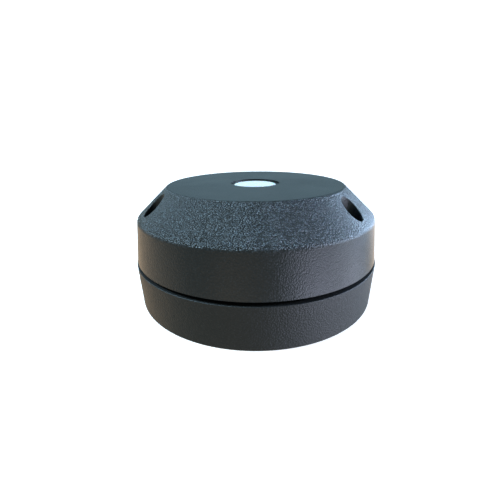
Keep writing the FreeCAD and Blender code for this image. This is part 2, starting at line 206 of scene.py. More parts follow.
def solderMask(name, dark, light):
    # gloss resist over glass cloth: the weave just shows, and poured copper is a lighter patch under it
    mat, tree, bsdf, point = newMaterial(name, {"IOR": 1.55, "Roughness": 0.32, "Coat Weight": 0.3,
                                                "Coat Roughness": 0.15})
    cloth = addNode(tree, "TexChecker", {"Scale": 1 / maskLook["weave"]}, {"Vector": point}).outputs[1]
    patch = addNode(tree, "TexNoise", {"Scale": 1 / maskLook["pour"], "Detail": 1.0},
                    {"Vector": point}).outputs[0]
    start, end = maskLook["pourEdge"]
    pour = addNode(tree, "MapRange", {"From Min": start, "From Max": end}, {"Value": patch}).outputs[0]
    colour = addNode(tree, "MixRGB", {"Color1": hexColour(dark), "Color2": hexColour(light)}, {"Fac": pour})
    bump = addNode(tree, "Bump", {"Distance": maskLook["weaveDepth"]}, {"Height": cloth})
    feedShader(tree, bsdf, {"Base Color": colour, "Normal": bump})
    return mat


sleeveLook = {
    "body": "#1b3a5a", "band": "#d3d6d6", "end": "#a8432c",
    "bandStart": 0.70, "bandEnd": 0.74,  # along the cell, 0 to 1
    "halfLength": 17 * mm, "wrinkle": 2 * mm, "wrinkleDepth": 0.05 * mm,
}


def printedSleeve(name, look):
    # shrunk PVC sleeve on a cell: gloss, with a printed band round one end and slight wrinkles
    mat, tree, bsdf, point = newMaterial(name, {"IOR": 1.53, "Roughness": 0.25, "Coat Weight": 0.4,
                                                "Coat Roughness": 0.1})
    along = addNode(tree, "SeparateXYZ", {}, {0: point}).outputs[0]
    place = addNode(tree, "MapRange", {"From Min": -look["halfLength"], "From Max": look["halfLength"]},
                    {"Value": along}).outputs[0]
    bands = addNode(tree, "ValToRGB", {}, {"Fac": place})
    bands.color_ramp.interpolation = "CONSTANT"
    stops = bands.color_ramp.elements
    stops[1].position = look["bandEnd"]
    stops.new(look["bandStart"])
    for stop, colour in zip(stops, (look["body"], look["band"], look["end"])):
        stop.color = hexColour(colour)
    wrinkle = addNode(tree, "TexNoise", {"Scale": 1 / look["wrinkle"], "Detail": 3.0},
                      {"Vector": point}).outputs[0]
    bump = addNode(tree, "Bump", {"Distance": look["wrinkleDepth"]}, {"Height": wrinkle})
    feedShader(tree, bsdf, {"Base Color": bands, "Normal": bump})
    return mat


finish = {
    "cover": sparkErodedAbs("coarseSparkErodedAbs", coverAbs, erosionLook),
    "base": sparkErodedAbs("fineSparkErodedAbs", baseAbs, erosionLook),
    "sleeve": printedSleeve("printedSleeve", sleeveLook),
}

mouldedSkin = {"cloud": 3 * mm, "skin": 0.12 * mm, "depth": 0.01 * mm}
mouldedLook = {
    # cast opal PMMA: even white, light goes a little way in, satin skin
    "opal": ("opalAcrylic", {"IOR": 1.49, "Subsurface Weight": 0.2, "Subsurface Scale": 0.6 * mm},
             {"colours": ("#f2f6f6", "#f8fafa"), "roughness": (0.34, 0.44)}),
    # polished clear PMMA: sharp highlights, hardly any tint
    "acrylic": ("clearAcrylic", {"IOR": 1.49, "Transmission Weight": 1.0},
                {"colours": ("#e9f3f3", "#f4fafa"), "roughness": (0.03, 0.09), "depth": 0.001 * mm}),
    # soft silicone: a dead black that hardly shines
    "gasket": ("blackSilicone", {"IOR": 1.41},
               {"colours": ("#060708", "#0b0c0d"), "roughness": (0.70, 0.85)}),
    # moulded nylon and acetal: a dull sheen, acetal a little glossier
    "nylon": ("mouldedNylon", {"IOR": 1.53}, {"colours": ("#17181a", "#212326"), "roughness": (0.44, 0.56)}),
    "knob": ("greyNylon", {"IOR": 1.53}, {"colours": ("#5b5e62", "#6a6d71"), "roughness": (0.42, 0.54)}),
    "button": ("creamAcetal", {"IOR": 1.48}, {"colours": ("#d4cfc2", "#e2ded4"), "roughness": (0.30, 0.40)}),
    # filled epoxy and fired ceramic: dry and matt
    "epoxy": ("mouldedEpoxy", {"IOR": 1.55}, {"colours": ("#15161a", "#1f2023"), "roughness": (0.54, 0.66)}),
    "ceramic": ("firedCeramic", {"IOR": 1.7}, {"colours": ("#a8977a", "#c8bba4"), "roughness": (0.48, 0.6)}),
    # vent film and printed ink: chalky, with hardly a highlight
    "film": ("expandedPtfe", {"IOR": 1.35}, {"colours": ("#dadad6", "#e8e8e4"), "roughness": (0.75, 0.9)}),
    "silk": ("screenPrintedInk", {"IOR": 1.5}, {"colours": ("#d9dad6", "#ecedea"), "roughness": (0.55, 0.7)}),
}
for key, (name, shader, look) in mouldedLook.items():
    finish[key] = moulded(name, shader, {**mouldedSkin, **look})

metals = {
    # name, dark and light colour, roughness, spacing of the tool rings
    "steel": ("turnedStainless", ("#a3a3a0", "#c2c2c0"), (0.24, 0.38), 0.09 * mm),  # plain grey
    "brass": ("turnedBrass", ("#a9833f", "#cda762"), (0.26, 0.40), 0.12 * mm),  # warm yellow
    "nickel": ("nickelPlate", ("#aeaba3", "#c9c6bf"), (0.22, 0.36), 0.2 * mm),  # slightly warm grey
    "tin": ("tinPlate", ("#adaeac", "#c7c8c7"), (0.30, 0.44), 0.3 * mm),  # duller than the others
    "gold": ("goldFlash", ("#c39a44", "#dfbb6b"), (0.24, 0.36), 0.1 * mm),  # thin gold over nickel
    "can": ("drawnAluminium", ("#b3b5b7", "#d0d2d4"), (0.24, 0.38), 0.15 * mm),  # cool and pale
}
for key, look in metals.items():
    finish[key] = turnedMetal(*look)

masks = {
    "board": ("greenSolderMask", "#0e4a2d", "#125335"),
    "module": ("blueSolderMask", "#0f2c4f", "#163a61"),
    "trace": ("maskedCopper", "#1c7146", "#237f50"),  # copper under resist, lighter than the board
}
for key, look in masks.items():
    finish[key] = solderMask(*look)

nodeFinish = {
    "top_cover": "cover", "base_shell": "base", "light_diffuser": "opal", "light_guide": "acrylic",
    "main_gasket": "gasket", "diffuser_seal": "gasket", "guide_boot": "gasket", "diffuser_retainer": "nylon",
    "screw_seal_rear": "gasket", "screw_seal_left": "gasket", "screw_seal_right": "gasket",
    "cover_screw_rear": "steel", "cover_screw_left": "steel", "cover_screw_right": "steel",
    "board_screws": "steel", "base_inserts": "brass", "tripod_insert": "brass", "main_board": "board",
    "radio_module": "module", "radio_shield": "tin", "chip_antenna": "ceramic", "controller_chip": "epoxy",
    "light_sensor": "epoxy", "reservoir_capacitor": "can", "program_header": "nylon",
    "reset_button_body": "nylon", "reset_button_cap": "button", "power_switch_body": "tin",
    "power_switch_knob": "knob", "battery_holder": "nylon", "battery_cell": "sleeve",
    "battery_contact_positive": "nickel", "battery_contact_negative": "nickel", "breather_membrane": "film",
}
for name, obj in nodes.items():
    obj.data.materials.clear()
    obj.data.materials.append(finish[nodeFinish[name]])
    for poly in obj.data.polygons:
        poly.material_index = 0
print("finishes on CAD nodes done")


# Mesh helpers

def boxOf(node):
    low, high = (Vector(v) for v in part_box(node))
    return low, high, (low + high) / 2


def polar(radius, angle, height=0.0):
    return Vector((radius * math.cos(angle), radius * math.sin(angle), height))


def addBox(bm, low, high, slot=0):
    low, high = Vector(low), Vector(high)
    place = Matrix.Translation((low + high) / 2) @ Matrix.Diagonal((*(high - low), 1))
    made = bmesh.ops.create_cube(bm, size=1.0, matrix=place)
    for face in {f for v in made["verts"] for f in v.link_faces}:
        face.material_index = slot
    return made["verts"]


def uprightEdges(verts):
    edges = {e for v in verts for e in v.link_edges}
    return [e for e in edges if abs(e.verts[0].co.z - e.verts[1].co.z) > 0.5 * mm]


def joinRings(bm, rings, slot=0, smooth=False):
    # a ring of one vertex is a point on the axis
    for a, b in zip(rings, rings[1:]):
        count = max(len(a), len(b))
        for step in range(count):
            after = (step + 1) % count
            if len(a) == 1:
                face = bm.faces.new((a[0], b[after], b[step]))
            elif len(b) == 1:
                face = bm.faces.new((a[step], a[after], b[0]))
            else:
                face = bm.faces.new((a[step], a[after], b[after], b[step]))
            face.material_index = slot
            face.smooth = smooth


def addLathe(bm, profile, place, axis=upAxis, steps=48, slot=0, radiusAt=None):
    # profile is (radius, height) from one end to the other; radiusAt can vary the radius round the axis
    turn = upAxis.rotation_difference(Vector(axis)).to_matrix()
    place = Vector(place)
    rings = []
    for radius, height in profile:
        if radius < 1e-9:
            rings.append([bm.verts.new(place + turn @ Vector((0, 0, height)))])
            continue
        ring = []
        for step in range(steps):
            angle = 2 * math.pi * step / steps
            reach = radiusAt(radius, height, angle) if radiusAt else radius
            ring.append(bm.verts.new(place + turn @ polar(reach, angle, height)))
        rings.append(ring)
    joinRings(bm, rings, slot, smooth=True)
    return rings


def addTube(bm, points, radius, sides=12):
    # round wire along a list of points, closed at both ends
    rings = []
    side = None
    for i, point in enumerate(points):
        along = (points[min(i + 1, len(points) - 1)] - points[max(i - 1, 0)]).normalized()
        side = (along.orthogonal() if side is None else side - along * side.dot(along)).normalized()
        other = along.cross(side)
        ring = []
        for step in range(sides):
            angle = 2 * math.pi * step / sides
            ring.append(bm.verts.new(point + (side * math.cos(angle) + other * math.sin(angle)) * radius))
        rings.append(ring)
    joinRings(bm, rings, smooth=True)
    for ring in (rings[0][::-1], rings[-1]):
        bm.faces.new(ring)


def makePiece(bm, name, mats, body, replaced=(), bevel=0.0):
    bmesh.ops.recalc_face_normals(bm, faces=bm.faces)
    mesh = bpy.data.meshes.new(name)
    bm.to_mesh(mesh)
    bm.free()
    obj = bpy.data.objects.new(name, mesh)
    bpy.context.scene.collection.objects.link(obj)
    for mat in mats:
        mesh.materials.append(finish[mat])
    if bevel:
        mod = obj.modifiers.new("softEdges", "BEVEL")
        mod.width = bevel
        mod.segments = 2
        mod.limit_method = "ANGLE"
    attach(obj, body)
    if replaced:
        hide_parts(*replaced)
    return obj


# Cover screws: knurled socket heads with a cut thread

screwLook = {
    "headHeight": 3.0 * mm, "headRadius": 2.75 * mm, "edge": 0.28 * mm, "underEdge": 0.15 * mm,
    "knurls": 40, "knurlDepth": 0.06 * mm, "stepsPerKnurl": 4,
    "socketFlats": 2.5 * mm, "socketDepth": 1.5 * mm, "drillCone": 0.35 * mm,
    "socketMouth": 1.10, "mouthDepth": 0.1 * mm,  # broken edge: how much wider at the top, and how deep
    "shank": 1.49 * mm, "plain": 0.6 * mm, "tipTaper": (0.25 * mm, 0.3 * mm),
    "root": 1.24 * mm, "pitch": 0.5 * mm, "threadSteps": 28, "threadEnds": (0.35 * mm, 0.4 * mm),
    "ridge": (0.0, 0.38, 0.50, 0.88),  # foot, crest, crest and foot of the ridge, in pitches
}


def screwSocket(bm, headRing, foot, top, look):
    # hexagon hole with a broken edge and the drill's cone at the bottom
    steps = len(headRing)
    corner = look["socketFlats"] / math.sqrt(3)
    bottom = top - look["socketDepth"]
    rings = [headRing]
    for scale, height in ((look["socketMouth"], top), (1.0, top - look["mouthDepth"]), (1.0, bottom)):
        ring = []
        for step in range(steps):
            angle = 2 * math.pi * step / steps
            within = (angle % (math.pi / 3)) - math.pi / 6
            reach = corner * math.cos(math.pi / 6) / math.cos(within) * scale
            ring.append(bm.verts.new(foot + polar(reach, angle, height)))
        rings.append(ring)
    rings.append([bm.verts.new(foot + Vector((0, 0, bottom - look["drillCone"])))])
    joinRings(bm, rings)


def screwThread(bm, foot, low, under, look):
    # one ridge wound up the shank, fading in over its first turn
    around, pitch, root = look["threadSteps"], look["pitch"], look["root"]
    start, spare = look["threadEnds"]
    turns = (under - look["plain"] - low - spare) / pitch
    radii = (root, look["shank"], look["shank"], root)
    lines = []
    for step in range(int(turns * around)):
        angle = 2 * math.pi * step / around
        base = low + start + pitch * (step / around)
        fade = min(1.0, step / around)
        line = []
        for radius, part in zip(radii, look["ridge"]):
            reach = root + (radius - root) * fade
            line.append(bm.verts.new(foot + polar(reach, angle, base + part * pitch)))
        lines.append(line)
    for a, b in zip(lines, lines[1:]):
        for k in range(len(radii) - 1):
            bm.faces.new((a[k], b[k], b[k + 1], a[k + 1]))


def coverScrew(side, look):
    node = "cover_screw_" + side
    low, high, centre = boxOf(node)
    foot = Vector((centre.x, centre.y, 0))
    top = high.z
    under = top - look["headHeight"]
    r, e, u = look["headRadius"], look["edge"], look["underEdge"]
    bm = bmesh.new()

    def knurl(radius, height, angle):
        inBand = under + e < height < top - e * 0.9
        wave = 0.5 + 0.5 * math.cos(angle * look["knurls"])
        return radius - (look["knurlDepth"] * wave if inBand else 0)

    head = [(look["shank"], under), (r - u, under), (r, under + u), (r, under + e * 1.1),
            (r, top - e), (r - e * 0.3, top - e * 0.3), (r - e, top)]
    rings = addLathe(bm, head, foot, steps=look["knurls"] * look["stepsPerKnurl"], radiusAt=knurl)
    screwSocket(bm, rings[-1], foot, top, look)
    screwThread(bm, foot, low.z, under, look)
    core = look["root"] + 0.01 * mm  # just over the ridge's foot, so that no gap shows
    inward, upward = look["tipTaper"]
    plain = under - look["plain"]
    shaft = [(0, low.z), (look["root"] - inward, low.z), (core, low.z + upward), (core, plain),
             (look["shank"], plain + 0.1 * mm), (look["shank"], under)]
    addLathe(bm, shaft, foot, steps=32)
    return makePiece(bm, "socketScrew" + side.capitalize(), ["steel"], "screw_" + side, [node])


for side in ("rear", "left", "right"):
    coverScrew(side, screwLook)
print("cover screws done")


# Battery cell: crimped can in a printed sleeve

cellLook = {
    "play": 0.02 * mm, "nubHeight": 1.0 * mm, "nubRadius": 3.1 * mm, "nubEdge": 0.25 * mm,
    "bottomFold": 1.3 * mm, "topFold": 1.55 * mm,  # how far the sleeve comes in over each end
    "canSunk": 0.12 * mm, "crimpSunk": 0.4 * mm, "lidSunk": 0.1 * mm,
}


def batteryCell(look):
    low, high, centre = boxOf("battery_cell")
    start = Vector((low.x, centre.y, centre.z))
    length = high.x - low.x
    body = length - look["nubHeight"]
    r = (high.z - low.z) / 2 - look["play"]
    n, edge = look["nubRadius"], look["nubEdge"]
    bottomLip, topLip = r - look["bottomFold"], r - look["topFold"]
    crimp, lid = body - look["crimpSunk"], body - look["lidSunk"]
    bm = bmesh.new()
    axis = (1, 0, 0)
    # sleeve folds over both ends and shows the can inside its lips
    sleeve = [(bottomLip, 0.02 * mm), (r - 0.5 * mm, 0.0), (r - 0.1 * mm, 0.15 * mm), (r, 0.5 * mm),
              (r, body - 0.6 * mm), (r - 0.1 * mm, body - 0.2 * mm), (r - 0.6 * mm, body),
              (topLip + 0.05 * mm, body - 0.02 * mm), (topLip, body - 0.25 * mm)]
    can = bottomLip + 0.02 * mm
    bottom = [(0, look["canSunk"]), (can, look["canSunk"]), (can, 0.0)]
    top = [(topLip, crimp), (n + 1.4 * mm, crimp), (n + 1.3 * mm, lid), (n + 0.15 * mm, lid),
           (n, body), (n, length - edge), (n - edge, length), (0, length)]
    addLathe(bm, sleeve, start, axis, 96)
    addLathe(bm, bottom, start, axis, 64, slot=1)
    addLathe(bm, top, start, axis, 64, slot=1)
    return makePiece(bm, "cellInSleeve", ["sleeve", "nickel"], "base", ["battery_cell"])


batteryCell(cellLook)


# Battery contacts: conical coil spring and a pressed plate

contactLook = {
    "plate": 0.4 * mm, "softEdge": 0.06 * mm,
    "wire": 0.35 * mm, "turns": 4.5, "stepsPerTurn": 28, "wide": 3.9 * mm, "narrow": 2.1 * mm,
    "plateDrop": 1.6 * mm,
    "closeLast": 1.12,  # over 1, so that the last turn lies flat
    # dimple on the other plate: radius in mm, and part of the way out
    "dimple": ((2.6, 0.0), (2.3, 0.35), (1.8, 0.85), (1.2, 1.0), (0.0, 1.0)),
    "rib": (0.12 * mm, 3 * mm, 0.3 * mm), "ribInset": (1.4 * mm, 1.2 * mm),
}


def coilContact(look):
    low, high, _ = boxOf("battery_contact_negative")
    cell = boxOf("battery_cell")[2]
    plate, wire = look["plate"], look["wire"]
    bm = bmesh.new()
    addBox(bm, low, (low.x + plate, high.y, high.z - look["plateDrop"]))
    count = int(look["turns"] * look["stepsPerTurn"])
    reach = high.x - low.x - plate - wire
    points = []
    for i in range(count + 1):
        part = i / count
        angle = 2 * math.pi * look["turns"] * part
        radius = look["wide"] + (look["narrow"] - look["wide"]) * part
        x = low.x + plate + wire * 0.5 + reach * min(1.0, part * look["closeLast"])
        points.append(Vector((x, cell.y + radius * math.cos(angle), cell.z + radius * math.sin(angle))))
    addTube(bm, points, wire / 2)
    return makePiece(bm, "coilContact", ["nickel"], "base", ["battery_contact_negative"], look["softEdge"])


def plateContact(look):
    low, high, _ = boxOf("battery_contact_positive")
    cell = boxOf("battery_cell")[2]
    middle = boxOf("battery_contact_negative")[2].y
    face = high.x - look["plate"]
    bm = bmesh.new()
    addBox(bm, (face, low.y, low.z), high)
    dimple = [(radius * mm, part * (face - low.x)) for radius, part in look["dimple"]]
    addLathe(bm, dimple, (face, cell.y, cell.z), (-1, 0, 0), 40)
    out, half, tall = look["rib"]
    lower, upper = look["ribInset"]
    for z in (low.z + lower, high.z - upper):
        addBox(bm, (face - out, middle - half, z - tall), (face, middle + half, z + tall))
    return makePiece(bm, "plateContact", ["nickel"], "base", ["battery_contact_positive"], look["softEdge"])


coilContact(contactLook)
plateContact(contactLook)
print("battery done")


# Circuit board dressing: copper, vias, small parts and print

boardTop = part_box("main_board")[1][2]
copperLook = {"thick": 0.03 * mm, "width": 0.28 * mm}
buses = {
    # number of traces, the first one's corners in mm, and each corner's move from one trace to the next
    "header": (6, ((5.6, 10.2), (1.2, 5.8), (-2.2, 6.0), (-19.0, 5.6), (-22.0, 2.6)),
               ((0, 0.8), (-0.6, 1.0), (-0.6, 0.35), (0, 0.4), (0, 0.4))),
    "radio": (5, ((6.0, 13.6), (2.4, 17.2), (-3.2, 17.2)), ((0, 0.7), (0, 0.7), (0, 0.7))),
    "switch": (4, ((13.2, 11.0), (17.4, 11.0), (20.8, 7.6), (23.4, 6.4)),
               ((0, 0.9), (0, 0.9), (0, 0.9), (0, 0.1))),
    "button": (4, ((9.0, 16.2), (9.0, 18.6), (11.4, 21.0)), ((0.9, 0), (0.9, 0), (0.9, 0))),
    "supply": (3, ((8.0, 8.8), (8.0, 1.2), (14.5, -4.4), (22.0, -5.2)),
               ((0.9, 0), (0.9, -0.9), (0, -0.2), (0, -0.2))),
    "return": (3, ((-18.6, -3.0), (-23.0, -7.4), (-23.0, -12.0)), ((0, -0.6), (0, -0.6), (0, 0))),
    "aerial": (4, ((-16.0, 21.2), (-16.0, 22.8)), ((3.2, 0), (3.2, 0))),
}


def addTrace(bm, route, look):
    # flat strip with mitred corners, laid on the board
    half = look["width"] / 2
    rise = Vector((0, 0, boardTop + look["thick"]))
    points = [Vector((x * mm, y * mm, 0)) for x, y in route]
    left, right = [], []
    for i, point in enumerate(points):
        before = (point - points[i - 1]).normalized() if i else (points[1] - point).normalized()
        after = (points[i + 1] - point).normalized() if i < len(points) - 1 else before
        middle = (before + after).normalized()
        normal = Vector((-middle.y, middle.x, 0))
        reach = half / max(0.4, middle.dot(after))
        left.append(bm.verts.new(point + normal * reach + rise))
        right.append(bm.verts.new(point - normal * reach + rise))
    for i in range(len(points) - 1):
        bm.faces.new((left[i], right[i], right[i + 1], left[i + 1]))


def boardCopper(look):
    bm = bmesh.new()
    for count, route, moves in buses.values():
        for i in range(count):
            addTrace(bm, [(x + dx * i, y + dy * i) for (x, y), (dx, dy) in zip(route, moves)], look)
    return makePiece(bm, "boardTraces", ["trace"], "base")


viaLook = {
    # distances on the board in mm
    "count": 46, "seed": 7, "reach": (6.5, 33.0), "apart": 2.2,
    "holder": ((-22.5, 22.5), (-26.2, -4.8)),
    # cover posts and board screws: pitch radius, angles and how far vias stay away
    "keepOut": ((33.1, (90, 210, 330), 6.6), (29.0, (30, 150, 270), 3.4)),
    "radius": 0.32 * mm, "pad": 0.04 * mm,
}


def viaFits(x, y, spots, look):
    (west, east), (south, north) = look["holder"]
    if west < x < east and south < y < north:
        return False
    for pitch, angles, clear in look["keepOut"]:
        for angle in angles:
            post = polar(pitch, math.radians(angle))
            if math.hypot(x - post.x, y - post.y) < clear:
                return False
    return all(math.hypot(x - a, y - b) >= look["apart"] for a, b in spots)


def boardVias(look):
    rng = random.Random(look["seed"])
    bm = bmesh.new()
    spots = []
    while len(spots) < look["count"]:
        angle, reach = rng.uniform(0, 2 * math.pi), rng.uniform(*look["reach"])
        x, y = reach * math.cos(angle), reach * math.sin(angle)
        if viaFits(x, y, spots, look):
            spots.append((x, y))
    r, pad = look["radius"], look["pad"]
    for x, y in spots:
        ring = [(r, 0), (r, pad), (r * 0.5, pad), (r * 0.45, 0.0)]
        addLathe(bm, ring, (x * mm, y * mm, boardTop), steps=16)
    return makePiece(bm, "boardVias", ["tin"], "base")


smallParts = [
    # x and y in mm, turned, kind: passives near the chips
    (4.2, 9.4, 1, "cap"), (4.2, 14.8, 1, "cap"), (15.2, 9.2, 0, "cap"), (15.6, 13.8, 0, "res"),
    (7.6, 18.0, 0, "res"), (11.6, 7.2, 0, "res"), (1.2, 8.8, 0, "cap"), (-2.0, 23.6, 1, "cap"),
    (-2.6, 26.0, 0, "ind"), (18.6, 18.4, 0, "res"), (20.0, 22.4, 1, "cap"), (18.0, -2.0, 1, "cap"),
    (15.0, 1.8, 0, "res"), (15.0, 4.2, 0, "res"), (-8.2, 3.4, 1, "cap"), (-8.2, -1.2, 1, "res"),
    (-20.2, -2.6, 0, "res"), (-20.0, 10.0, 1, "cap"), (29.6, 2.0, 1, "cap"), (29.6, 6.2, 1, "res"),
    (-29.8, 3.0, 1, "res"), (-29.8, -2.4, 1, "cap"), (26.2, -6.4, 0, "ind"), (-26.4, -7.2, 0, "cap"),
]
smallPartLook = {
    # length, width and height in mm, and the body's material slot
    "cap": (1.6, 0.8, 0.8, 0), "res": (1.6, 0.8, 0.45, 1), "ind": (2.5, 2.0, 1.6, 1),
    "endShare": 0.2, "solder": 0.02, "softEdge": 0.05 * mm,
}


def boardSmallParts(look):
    # each is a body between two tinned ends, lying along x, or along y when turned
    bm = bmesh.new()
    for x, y, turned, kind in smallParts:
        length, width, height, bodySlot = look[kind]
        half, end, solder = length / 2, length * look["endShare"], look["solder"]
        for start, stop, skin, slot in ((-half + end, half - end, 0.0, bodySlot),
                                        (-half, -half + end, solder, 2), (half - end, half, solder, 2)):
            corners = ((start - skin, -width / 2 - skin), (stop + skin, width / 2 + skin))
            if turned:
                corners = [(b, a) for a, b in corners]
            (ax, ay), (bx, by) = corners
            addBox(bm, ((x + ax) * mm, (y + ay) * mm, boardTop),
                   ((x + bx) * mm, (y + by) * mm, boardTop + (height + skin) * mm), slot)
    return makePiece(bm, "boardSmallParts", ["ceramic", "epoxy", "tin"], "base", bevel=look["softEdge"])


printLook = {
    "height": 0.045 * mm, "line": 0.16 * mm, "gap": 0.45 * mm,
    "outlined": ("controller_chip", "program_header", "reset_button_body", "power_switch_body",
                 "reservoir_capacitor", "chip_antenna", "radio_module"),
    "pinMark": (1.0 * mm, 0.2 * mm, 0.22 * mm, 0.2 * mm),  # out, up, radius and line of the dot by pin one
    "bootRing": 5.75 * mm,
    "screws": (29 * mm, (30, 150, 270)), "screwRing": 2.9 * mm, "screwLine": 0.5 * mm,
}


def ringStrip(bm, place, radius, width, z, steps):
    inner, outer = [], []
    for step in range(steps + 1):
        angle = 2 * math.pi * step / steps
        for ring, r in ((inner, radius - width / 2), (outer, radius + width / 2)):
            ring.append(bm.verts.new((place[0] + r * math.cos(angle), place[1] + r * math.sin(angle), z)))
    for i in range(steps):
        bm.faces.new((inner[i], outer[i], outer[i + 1], inner[i + 1]))


def frameStrip(bm, x0, y0, x1, y1, width, z):
    bars = ((x0, y0, x1, y0 + width), (x0, y1 - width, x1, y1),
            (x0, y0 + width, x0 + width, y1 - width), (x1 - width, y0 + width, x1, y1 - width))
    for west, south, east, north in bars:
        corners = ((west, south, z), (east, south, z), (east, north, z), (west, north, z))
        bm.faces.new([bm.verts.new(corner) for corner in corners])


def boardPrint(look):
    # outlines round the parts, as a screen-printed legend has, with no lettering
    bm = bmesh.new()
    z, line, gap = boardTop + look["height"], look["line"], look["gap"]
    for node in look["outlined"]:
        low, high, _ = boxOf(node)
        frameStrip(bm, low.x - gap, low.y - gap, high.x + gap, high.y + gap, line, z)
    low, high, _ = boxOf("controller_chip")
    out, up, radius, width = look["pinMark"]
    ringStrip(bm, (low.x - out, high.y + up), radius, width, z, 16)
    ringStrip(bm, boxOf("guide_boot")[2], look["bootRing"], line, z, 64)
    pitch, angles = look["screws"]
    for angle in angles:
        # a hair lower, so that it never lies in one plane with an outline
        place = polar(pitch, math.radians(angle))
        ringStrip(bm, place, look["screwRing"], look["screwLine"], z - 0.01 * mm, 40)
    return makePiece(bm, "boardPrint", ["silk"], "base")


boardCopper(copperLook)
boardVias(viaLook)
boardSmallParts(smallPartLook)
boardPrint(printLook)
print("board dressing done")


# Bought-in board parts

headerLook = {
    "pitch": 2.54 * mm, "bodyHeight": 2.5 * mm, "bodyHalf": 1.25 * mm, "corner": 0.4 * mm, "lift": 0.02 * mm,
    "pinHalf": 0.32 * mm, "pinFoot": 0.5 * mm, "pinTaper": 0.6, "softEdge": 0.04 * mm,
}


def programHeader(look):
    # two rows of three pins, each through its own eight-sided block
    _, high, centre = boxOf("program_header")
    bodyTop = boardTop + look["bodyHeight"]
    w, pin = look["bodyHalf"], look["pinHalf"]
    bm = bmesh.new()
    for column in (-0.5, 0.5):
        for row in (-1, 0, 1):
            x, y = centre.x + column * look["pitch"], centre.y + row * look["pitch"]
            block = addBox(bm, (x - w, y - w, boardTop + look["lift"]), (x + w, y + w, bodyTop), 0)
            bmesh.ops.bevel(bm, geom=uprightEdges(block), offset=look["corner"], segments=1, affect="EDGES")
            foot = boardTop + look["pinFoot"]
            for v in addBox(bm, (x - pin, y - pin, foot), (x + pin, y + pin, high.z), 1):
                if v.co.z > bodyTop:
                    v.co.x = x + (v.co.x - x) * look["pinTaper"]
                    v.co.y = y + (v.co.y - y) * look["pinTaper"]
    return makePiece(bm, "pinHeader", ["nylon", "gold"], "base", ["program_header"], look["softEdge"])


chipLook = {
    "rim": 0.55 * mm, "standOff": 0.12 * mm, "softEdge": 0.03 * mm,
    "leads": 10, "leadPitch": 0.5 * mm, "leadHalf": 0.11 * mm, "leadLift": 0.02 * mm,
    # flat foot and taller shoulder of a lead: start and end inward from its tip, then height
    "leadParts": ((0.0, 0.3 * mm, 0.12 * mm), (0.28 * mm, 0.5775 * mm, 0.5 * mm)),
    "dotInset": 1.4 * mm, "dotRadius": 0.35 * mm, "dotLift": 0.004 * mm,
}


def controllerChip(look):
    low, high, centre = boxOf("controller_chip")
    rim, wide, count = look["rim"], look["leadHalf"], look["leads"]
    bottom = boardTop + look["leadLift"]
    bm = bmesh.new()
    addBox(bm, (low.x + rim, low.y + rim, boardTop + look["standOff"]),
           (high.x - rim, high.y - rim, high.z), 0)
    for i in range(count):
        offset = (i - (count - 1) / 2) * look["leadPitch"]
        x, y = centre.x + offset, centre.y + offset
        for start, end, height in look["leadParts"]:
            top = boardTop + height
            for a, b in ((low.x + start, low.x + end), (high.x - end, high.x - start)):
                addBox(bm, (a, y - wide, bottom), (b, y + wide, top), 1)
            for a, b in ((low.y + start, low.y + end), (high.y - end, high.y - start)):
                addBox(bm, (x - wide, a, bottom), (x + wide, b, top), 1)
    inset, lift = look["dotInset"], look["dotLift"]
    corner = (low.x + inset, high.y - inset, high.z)
    addLathe(bm, [(look["dotRadius"], lift), (0, lift)], corner, steps=20, slot=2)
    return makePiece(bm, "controllerPackage", ["epoxy", "tin", "knob"], "base", ["controller_chip"],
                     look["softEdge"])


radioLook = {
    "copper": 0.03 * mm, "pads": 11, "padPitch": 1.27 * mm, "padHalf": 0.35 * mm, "padLength": 0.5 * mm,
    "aerialInset": 0.4 * mm, "bars": 5, "barStart": 1.6 * mm, "barPitch": 2.2 * mm,
    "barLength": 2.6 * mm, "barWidth": 0.4 * mm,
}


def radioBoard(look):
    low, high, _ = boxOf("radio_module")
    copper = high.z + look["copper"]
    half, length = look["padHalf"], look["padLength"]
    bm = bmesh.new()
    addBox(bm, low, high, 0)
    for i in range(look["pads"]):
        x = low.x + (i + 1.5) * look["padPitch"]
        for south, north in ((low.y, low.y + length), (high.y - length, high.y)):
            addBox(bm, (x - half, south, low.z + 0.01 * mm), (x + half, north, copper), 1)
    # folded aerial on the bare end of the module
    right = high.x - look["aerialInset"]
    left, wide = right - look["barLength"], look["barWidth"]
    for i in range(look["bars"]):
        y = low.y + look["barStart"] + look["barPitch"] * i
        addBox(bm, (left, y, high.z), (right, y + wide, copper), 1)
        if i < look["bars"] - 1:
            x = left if i % 2 else right - wide
            addBox(bm, (x, y, high.z), (x + wide, y + look["barPitch"] + wide, copper), 1)
    return makePiece(bm, "radioBoard", ["module", "gold"], "base", ["radio_module"])


shieldLook = {
    "rim": 0.5 * mm, "step": 0.25 * mm, "sunk": 0.12 * mm, "softEdge": 0.18 * mm,
    "holes": (4, 3), "holeStart": (2.1 * mm, 2.5 * mm), "holePitch": (2.6 * mm, 3.0 * mm),
    "holeRadius": 0.32 * mm, "holeHeight": 0.012 * mm,
}


